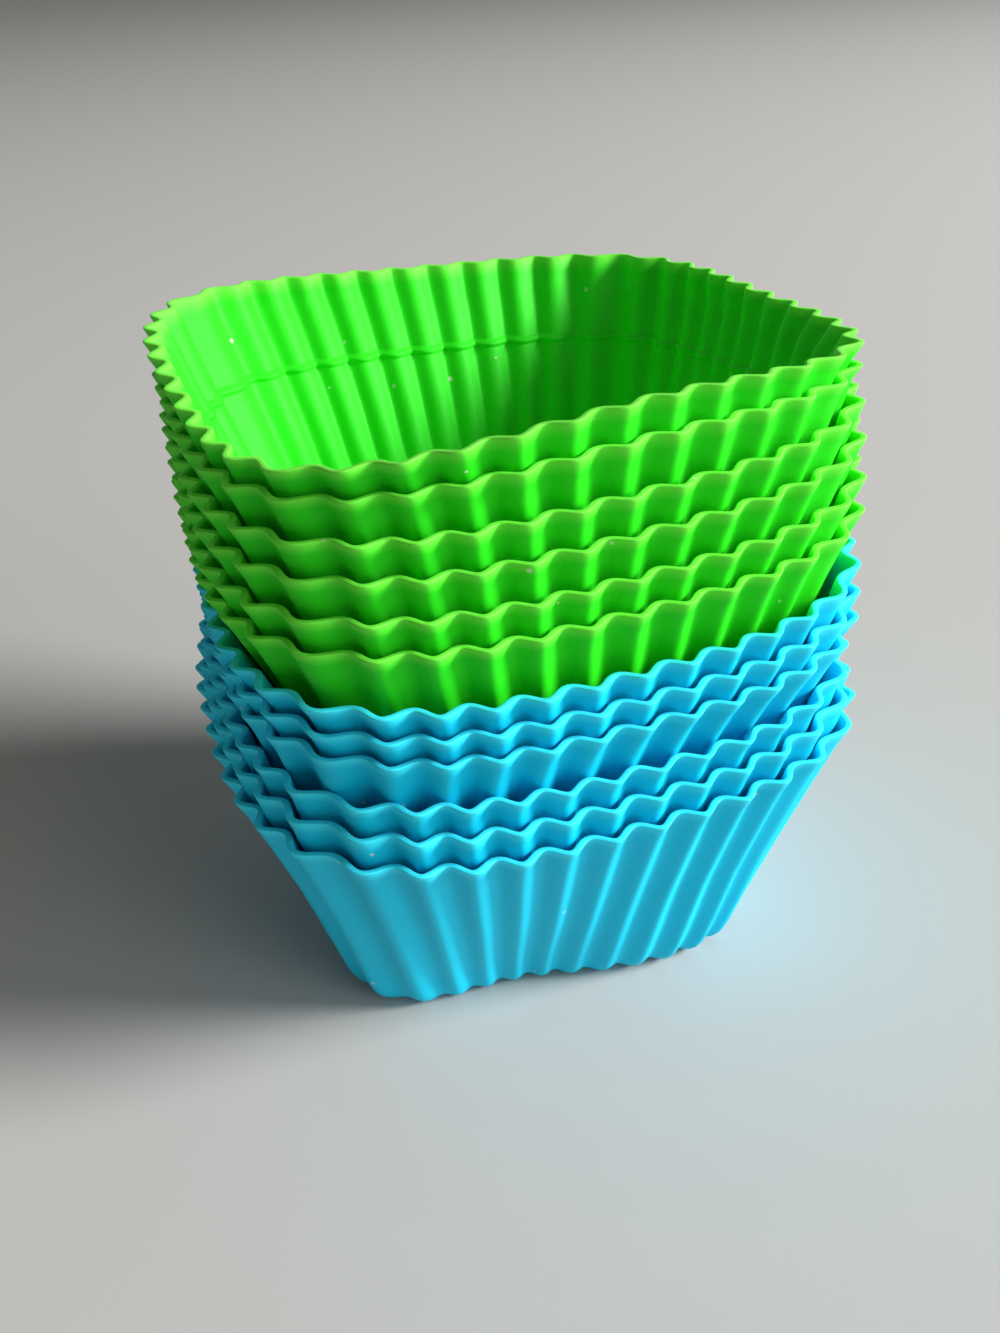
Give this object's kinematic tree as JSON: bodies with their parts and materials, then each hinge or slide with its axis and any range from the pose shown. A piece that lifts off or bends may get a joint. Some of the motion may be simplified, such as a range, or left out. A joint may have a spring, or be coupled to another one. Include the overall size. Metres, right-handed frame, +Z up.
{
  "type": "stack of square silicone baking cups",
  "caption": "Nested stack of identical square silicone baking cups with fluted, flaring walls, green ones on blue ones, open side up.",
  "frame": {"origin": "on the table, under the middle of the bottom cup's foot", "axes": "+Z up out of the open cups, +X to the right and +Y to the back as seen from the front of the stack, both square to the walls of the upper cups"},
  "size_m": [0.0697, 0.0718, 0.072],
  "materials": {
    "green_silicone": "satin, slightly translucent lime green silicone",
    "blue_silicone": "satin, slightly translucent turquoise blue silicone"
  },
  "bodies": {
    "root": {"green_cup_1": "green_silicone", "green_cup_2": "green_silicone", "green_cup_3": "green_silicone", "green_cup_4": "green_silicone", "green_cup_5": "green_silicone", "green_cup_6": "green_silicone", "blue_cup_1": "blue_silicone", "blue_cup_2": "blue_silicone", "blue_cup_3": "blue_silicone", "blue_cup_4": "blue_silicone", "blue_cup_5": "blue_silicone", "blue_cup_6": "blue_silicone"}
  },
  "joints": []
}
